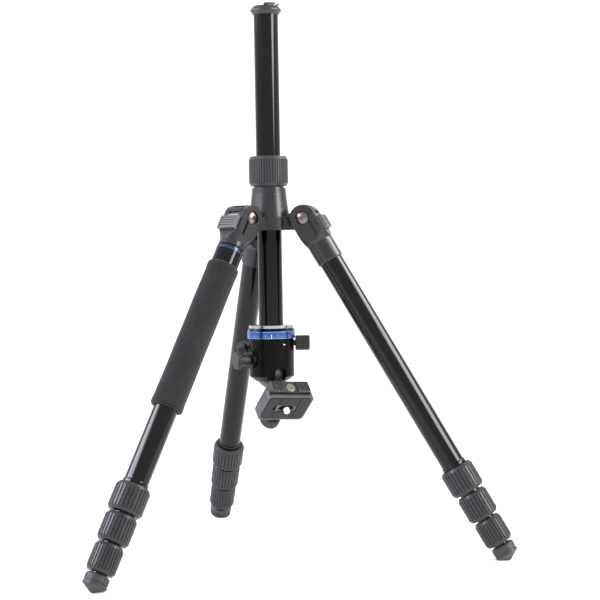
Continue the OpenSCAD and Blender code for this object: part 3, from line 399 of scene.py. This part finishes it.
# A thin pale line round each rim: a painted highlight
for rim in (ring_low + 0.5, ring_high - 3.6):
    ring_marks.append((TURN_DEG, TURN_DEG, rim - RIM_HIGHLIGHT_MM, rim + RIM_HIGHLIGHT_MM, 0,
                       "#8fb2e6"))
ring_marks += [(5, 0.5, ring_low + 1.4, ring_low + 3.2, 0, "#9fc0f0"),
               (30, 0.7, ring_low + 1.4, ring_low + 4.6, 0, "#c4d8f8"),
               (TURN_DEG, 1.6, ring_low + 0.6, ring_low + 4.4, ZERO_DEG, "#f4f7ff")]
for *line, paint in ring_marks:
    paint_over(scale_ring, angle_lines(scale_ring, *line), paint)
dress(scale_ring, "pan_ring")
print("scale ring from", round(ring_low, 1), "mm")

# %% [markdown]
# The housing carries one short white index mark under the ring, filled with paint. It is
# the same kind of line, with a spacing of a whole turn.

# %% Index line on the housing
housing_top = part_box("housing")[1].z / MM
paint_over(head_black, angle_lines(head_black, TURN_DEG, 6, housing_top - 6.6,
                                   housing_top - 5.3, INDEX_DEG), "#e9e9e6")
print("still plain:", sorted(set(nodes) - dressed))

# %% [markdown]
# New pieces are surfaces worked out on a grid. Most pieces of a tripod are turned, so one
# function carries a profile round an axis. A ripple may add to the radius at each angle
# and height, and that is all a thread, a knurl or a soft dent needs.

# %% The functions for a node's reach and for a turned surface


def span(name, place):
    """Least and greatest height of a node's points along the z axis of a frame, in mm."""
    origin, axes = place
    node = nodes[name]
    points = np.array([node.matrix_world @ vertex.co for vertex in node.data.vertices])
    heights = (points - origin) @ axes[:, 2] / MM
    return float(heights.min()), float(heights.max())


def turned(name, profile_mm, place, around, body, material, ripple=None, fine_mm=None):
    """Points are origin + z * axis + r * (cos a * x + sin a * y), for the profile's (r, z)
    pairs, refined to steps of fine_mm, and each angle a, with ripple(r, z, a) added to r."""
    r, z = np.array(profile_mm, float).T
    if fine_mm is not None:
        run = np.concatenate([[0], np.cumsum(np.hypot(np.diff(r), np.diff(z)))])
        steps = np.unique(np.concatenate([run, np.arange(0, run[-1], fine_mm)]))
        r, z = np.interp(steps, run, r), np.interp(steps, run, z)
    a = np.linspace(0, 2 * np.pi, around, endpoint=False)
    R, A = np.meshgrid(r, a, indexing="ij")
    Z = np.repeat(z[:, None], around, axis=1)
    if ripple is not None:
        R = np.where(R > 1e-6, R + ripple(R, Z, A), 0.0)
    origin, axes = place
    local = np.stack([R * np.cos(A), R * np.sin(A), Z], axis=-1) * MM
    points = origin + local.reshape(-1, 3) @ axes.T
    rows, cols = np.meshgrid(np.arange(len(r) - 1), np.arange(around), indexing="ij")
    nxt = (cols + 1) % around
    quads = np.stack([rows * around + cols, rows * around + nxt,
                      (rows + 1) * around + nxt, (rows + 1) * around + cols], axis=-1)
    mesh = bpy.data.meshes.new(name)
    mesh.from_pydata(points.tolist(), [], quads.reshape(-1, 4).tolist())
    form = bmesh.new()
    form.from_mesh(mesh)
    bmesh.ops.remove_doubles(form, verts=form.verts, dist=1e-7)
    bmesh.ops.dissolve_degenerate(form, edges=form.edges, dist=1e-8)
    bmesh.ops.recalc_face_normals(form, faces=form.faces)
    form.to_mesh(mesh)
    form.free()
    mesh.shade_smooth()
    mesh.materials.append(material)
    piece = bpy.data.objects.new(name, mesh)
    bpy.context.scene.collection.objects.link(piece)
    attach(piece, body)
    print(name, len(mesh.polygons), "faces")
    return piece


def ridged(r0, r1, z0, z1, count, depth):
    """A ripple of count ridges between two radii and two heights: depth times a squared
    cosine."""
    def ripple(R, Z, A):
        wave = 1 - np.abs(np.sin(count * A / 2)) ** 2
        inside = (Z > z0) & (Z < z1) & (R > r0) & (R < r1)
        return np.where(inside, -depth * wave, 0.0)
    return ripple


# %% [markdown]
# The foam grip is a sleeve of closed-cell rubber foam. Foam is soft to the eye: its
# surface is full of cells nearly a millimetre across, it is quite matt, and hands have
# pressed it a little out of true. Its ends are rolled over. The cells are a Voronoi
# pattern and a noise; the presses are two slow waves in the radius.

# %% Foam grip
CELL_MM, FLECK_MM, SHADE_MM = 0.9, 2.2, 30
foam = empty_material("cell_foam")
foam_place = add(foam, "TexCoord").outputs["Object"]
foam_cells = add(foam, "TexVoronoi", {"Vector": foam_place, "Scale": 1 / (CELL_MM * MM)})
foam_fleck = add(foam, "TexNoise", {"Vector": foam_place, "Scale": 1 / (FLECK_MM * MM),
                                    "Detail": 4})
foam_slow = add(foam, "TexNoise", {"Vector": foam_place, "Scale": 1 / (SHADE_MM * MM)})
foam_height = add(foam, "Math", {0: foam_cells.outputs["Distance"],
                                 1: foam_fleck.outputs["Fac"]}, operation="ADD")
foam_tone = add(foam, "Math", {0: foam_fleck.outputs["Fac"], 1: foam_slow.outputs["Fac"]},
                operation="MULTIPLY")
foam_colour = add(foam, "Mix", {0: foam_tone.outputs[0], 6: linear("#171718"),
                                7: linear("#373738")}, data_type="RGBA")
foam_relief = add(foam, "Bump", {"Height": foam_height.outputs[0], "Distance": 0.25 * MM,
                                 "Strength": 0.8})
foam_shade = add(foam, "BsdfPrincipled", {"Base Color": foam_colour.outputs[2],
                                          "Roughness": 0.92, "Specular IOR Level": 0.2,
                                          "Sheen Weight": 0.15, "Sheen Roughness": 0.5,
                                          "Normal": foam_relief.outputs[0]})
add(foam, "OutputMaterial", {"Surface": foam_shade.outputs[0]})

GRIP_FROM, GRIP_TO = span("left_grip", LEGS["left"])
GRIP_R, ROLL_R, BORE_R = 16.6, 17.0, 12.55
ROLL_BEND, ROLL_END, WAIST_END = 2.6, 5, 10
near_roll = [(ROLL_R - ROLL_BEND * (1 - math.sin(t)),
              GRIP_FROM + ROLL_BEND * (1 - math.cos(t))) for t in np.linspace(0, np.pi / 2, 9)]
far_roll = [(r, GRIP_FROM + GRIP_TO - z) for r, z in near_roll][::-1]
grip_profile = [(BORE_R, GRIP_FROM), *near_roll, (ROLL_R, GRIP_FROM + ROLL_END),
                (GRIP_R, GRIP_FROM + WAIST_END), (GRIP_R, GRIP_TO - WAIST_END),
                (ROLL_R, GRIP_TO - ROLL_END), *far_roll, (BORE_R, GRIP_TO),
                (BORE_R, GRIP_FROM)]


def presses(R, Z, A):
    """Two slow waves of 0.1 mm about a radius 0.1 mm less, fading towards the bore."""
    soft = (R - BORE_R) / (ROLL_R - BORE_R)
    return 0.1 * soft * (np.sin(Z / 17 + 2 * A) + np.sin(Z / 9 - A + 1) - 1)


grip = turned("foam_grip", grip_profile, LEGS["left"], 96, "left_leg", foam,
              presses, fine_mm=2.0)
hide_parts("left_grip")
dressed.add("left_grip")

# %% [markdown]
# Each leg's first lock ends in a short gloss collar, which guides the tube and catches the
# light as a bright rim. It turns with the lock.

# %% Gloss rims of the first locks
RIM_BORE, RIM_EDGE, RIM_R = 12.62, 13.1, 13.4
for leg in LEGS:
    lock_top = span(leg + "_lock_1", LEGS[leg])[0]
    rim_top, rim_foot = lock_top - 4.4, lock_top + 0.2
    rim_profile = [(RIM_BORE, rim_top), (RIM_EDGE, rim_top), (RIM_R, lock_top - 4),
                   (RIM_R, rim_foot), (RIM_BORE, rim_foot), (RIM_BORE, rim_top)]
    turned(leg + "_lock_rim", rim_profile, LEGS[leg], 96, leg + "_lock_1", tube_finish[leg],
           fine_mm=2.0)

# %% [markdown]
# A quarter-inch camera screw has twenty threads to the inch, so a pitch of 1.27 mm. The
# ridge climbs one pitch a turn: the radius at a point depends on its height less the part
# of a pitch that its angle stands for. Under the pads the screw has a plain shank and a
# flat head.

# %% Camera screw with its thread
bright_screw = hard_finish("bright_steel", "#d8d6d2", "#ffffff", 0.18, 0.5, 0.003,
                           wear_and_highlight=0.2, round_mm=0.15, metallic=1.0)
PITCH, SCREW_R = 1.27, 3.175
RUN_IN_MM, RUN_OUT_MM = 0.5, 0.3


def thread(low, high, pitch, depth):
    """Radius less depth times the distance from the ridge: a triangle wave of height less
    pitch times angle / turn, stretched and clipped to give flat crests and roots. The
    thread runs out at both ends."""
    def ripple(R, Z, A):
        turn = (Z / pitch - A / (2 * np.pi)) % 1.0
        groove = np.clip(1.5 * (1 - np.abs(2 * turn - 1)) - 0.25, 0, 1)
        run_in = np.clip((Z - low) / RUN_IN_MM, 0, 1)
        run_out = np.clip((high - Z) / RUN_OUT_MM, 0, 1)
        return -depth * groove * (run_in * run_out)
    return ripple


# The knob's axis over the ball's centre, then the clamp's foot, the screw's head, the
# level's axis and the pads' face
AXIS_UP = float(np.dot(np.array(knob_joint["pos_m"]) - CLAMP[0], CLAMP[1][:, 2])) / MM
CLAMP_FOOT = AXIS_UP - 5
HEAD_LOW, LEVEL_UP, PAD_FACE = CLAMP_FOOT + 9.3, CLAMP_FOOT + 8.6, CLAMP_FOOT + 19.55
SCREW_HEAD_R, SHANK_R = 7.2, 2.8
THREAD_FROM, THREAD_TO, THREAD_DEPTH = PAD_FACE + 0.15, PAD_FACE + 4.45, 0.55
head_top, tip = HEAD_LOW + 2.6, PAD_FACE + 5
screw_profile = [(0, HEAD_LOW), (SCREW_HEAD_R, HEAD_LOW), (SCREW_HEAD_R, head_top),
                 (SHANK_R, head_top), (SHANK_R, PAD_FACE), (SCREW_R, PAD_FACE),
                 (SCREW_R, tip - PITCH / 2), (SCREW_R - PITCH / 2, tip), (0, tip)]
camera_screw = turned("camera_screw_threaded", screw_profile, CLAMP, 64, "camera_screw",
                      bright_screw,
                      thread(THREAD_FROM, THREAD_TO, PITCH, THREAD_DEPTH), fine_mm=0.12)
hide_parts("camera_screw")
dressed.add("camera_screw")

# %% [markdown]
# The clamp's knob is a rubber-covered head on a bright steel screw. A solid model makes
# them one piece, so here each gets its own surface and finish: the head with twenty-four
# shallow flutes and a dished end, the screw with a metric thread of 1 mm pitch.

# %% Clamp knob and its screw
FLUTES, FLUTE_DEPTH, FLUTED_R, FLUTED_Z = 24, 0.7, (10, 12), (30.2, 38.9)
METRIC_PITCH, METRIC_DEPTH = 1.0, 0.4
KNOB = (CLAMP[0] + CLAMP[1][:, 2] * AXIS_UP * MM,
        np.stack([CLAMP[1][:, 2], CLAMP[1][:, 0], -CLAMP[1][:, 1]], axis=1))
knob_profile = [(0, 29.0), (8.8, 29.0), (10.1, 30.4), (10.5, 31.4), (10.5, 37.8),
                (9.9, 39.4), (8.8, 40), (7.2, 39.9), (6.6, 39.2), (0, 39.0)]
clamp_knob = turned("clamp_knob_head", knob_profile, KNOB, 240, "clamp_knob", knob_rubber,
                    ridged(*FLUTED_R, *FLUTED_Z, FLUTES, FLUTE_DEPTH),
                    fine_mm=0.35)
knob_screw_profile = [(0, 0.3), (2.5, 0.3), (3, 0.8), (3, 29.4), (0, 29.4)]
turned("clamp_knob_screw", knob_screw_profile, KNOB, 48, "clamp_knob", bright_screw,
       thread(0.6, 29.2, METRIC_PITCH, METRIC_DEPTH), fine_mm=0.16)
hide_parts("clamp_knob")
dressed.add("clamp_knob")

# %% [markdown]
# The round level is a vial of yellow-green fluid under a clear acrylic dome. Both are one
# surface: the fluid is its colour and the acrylic its clear coat.

# %% Round level
level_fluid = hard_finish("level_fluid", "#5f6446", "#a9ae8c", 0.12, 3.0, 0.001, drift=0.3,
                          wear_and_highlight=0.0, coat=1.0)
LEVEL = (CLAMP[0] + CLAMP[1][:, 2] * LEVEL_UP * MM,
         np.stack([CLAMP[1][:, 2], CLAMP[1][:, 0], CLAMP[1][:, 1]], axis=1))
dome = [(0, 19.6), (5.2, 19.6), (5.2, 21.5), (4.7, 21.9), (3.3, 22.1), (1.7, 22.2),
        (0, 22.2)]
level = turned("round_level", dome, LEVEL, 64, "clamp", level_fluid,
               fine_mm=0.4)
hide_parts("bubble_level")
dressed.add("bubble_level")

# %% [markdown]
# The studio is plain: a white floor that curves up into a white wall, and three soft
# lamps. Black gloss only shows what it reflects, so two tall panels stand at the sides:
# the left one cool and the right one warmer. They draw the long highlights on the tubes.
# The background is white to the camera, to reflections and to rays through glass. The
# floor glows less near the tripod, where the lamps already make it white, so that it
# still takes the tripod's shadow.

# %% Floor and wall


def background_rays(owner):
    """1 for the rays that see the white background: camera, glossy and transmission."""
    rays = add(owner, "LightPath").outputs
    straight = add(owner, "Math", {0: rays["Is Camera Ray"], 1: rays["Is Glossy Ray"]},
                   operation="MAXIMUM")
    return add(owner, "Math", {0: straight.outputs[0], 1: rays["Is Transmission Ray"]},
               operation="MAXIMUM").outputs[0]


NEAR_M, FAR_M, NEAR_GLOW, FAR_GLOW = 0.5, 3.0, 0.4, 1.0
studio = empty_material("studio_white")
away = add(studio, "VectorMath", {0: add(studio, "TexCoord").outputs["Object"]},
           operation="LENGTH")
own = add(studio, "MapRange", {0: away.outputs["Value"], 1: NEAR_M, 2: FAR_M, 3: NEAR_GLOW,
                               4: FAR_GLOW}, interpolation_type="SMOOTHSTEP")
glow = add(studio, "Math", {0: background_rays(studio), 1: own.outputs[0]},
           operation="MULTIPLY")
paper = add(studio, "BsdfDiffuse", {"Color": linear("#f4f4f4")})
lit = add(studio, "Emission", {"Strength": glow.outputs[0]})
both = add(studio, "AddShader", {0: paper.outputs[0], 1: lit.outputs[0]})
add(studio, "OutputMaterial", {"Surface": both.outputs[0]})

HALF_ROOM_M, SWEEP_FROM_M, SWEEP_R_M, WALL_TOP_M = 9.0, 5.0, 2.0, 7.0
sweep = np.linspace(0, np.pi / 2, 17)
rise_y = np.concatenate([[-HALF_ROOM_M], SWEEP_FROM_M + SWEEP_R_M * np.sin(sweep),
                         [SWEEP_FROM_M + SWEEP_R_M]])
rise_z = np.concatenate([[0.0], SWEEP_R_M - SWEEP_R_M * np.cos(sweep), [WALL_TOP_M]])
wall_x = np.linspace(-HALF_ROOM_M, HALF_ROOM_M, 3)
wall = np.stack(np.broadcast_arrays(wall_x[None, :], rise_y[:, None], rise_z[:, None]), -1)
count = wall.shape[1]
cells = np.array([[r * count + c, r * count + c + 1, (r + 1) * count + c + 1,
                   (r + 1) * count + c] for r in range(len(rise_y) - 1)
                  for c in range(count - 1)])
floor_mesh = bpy.data.meshes.new("studio_floor")
floor_mesh.from_pydata(wall.reshape(-1, 3).tolist(), [], cells.tolist())
floor_mesh.shade_smooth()
floor_mesh.materials.append(studio)
floor = bpy.data.objects.new("studio_floor", floor_mesh)
bpy.context.scene.collection.objects.link(floor)

# %% World and lamps
ROOM_LIGHT = 0.24
world = bpy.data.worlds.new("studio_world")
bpy.context.scene.world = world
world.use_nodes = True
world.node_tree.nodes.clear()
level_of = add(world, "MapRange", {0: background_rays(world), 3: ROOM_LIGHT, 4: 1.0})
sky = add(world, "Background", {"Strength": level_of.outputs[0], "Color": (1, 1, 1, 1)})
add(world, "OutputWorld", {0: sky.outputs[0]})

CAMERA_TURN_DEG = -15.5
TRIPOD_MIDDLE = Vector((0, 0, 0.3))


def softbox(name, beside_deg, height, distance, size, watts, colour, mirrored=True):
    """An area lamp at a compass angle from the camera, facing the tripod's middle."""
    turn = math.radians(CAMERA_TURN_DEG + beside_deg)
    place = Vector((math.sin(turn) * distance, -math.cos(turn) * distance, height))
    data = bpy.data.lights.new(name, "AREA")
    data.shape = "RECTANGLE"
    data.size, data.size_y = size
    data.energy = watts
    data.color = linear(colour)[:3]
    lamp = bpy.data.objects.new(name, data)
    bpy.context.scene.collection.objects.link(lamp)
    lamp.location = place
    lamp.rotation_euler = (TRIPOD_MIDDLE - place).to_track_quat("-Z", "Z").to_euler()
    lamp.visible_camera = False
    lamp.visible_glossy = mirrored


softbox("left_panel", -77, 1.15, 1.6, (0.5, 1.8), 52, "#efedff")
softbox("right_panel", 78, 1.15, 1.6, (0.55, 1.8), 56, "#fffef4")
softbox("top_panel", 0, 2.4, 0.9, (1.6, 1.6), 20, "#ffffff", mirrored=False)
print("lamps placed")

# %% Colour view
bpy.context.scene.view_settings.view_transform = "Standard"

# %% [markdown]
# The dressed tripod must stay the size of its solids. The last line prints the CAD nodes
# that no finish was given.

# %% List the nodes still plain
print("plain nodes left:", sorted(set(nodes) - dressed))
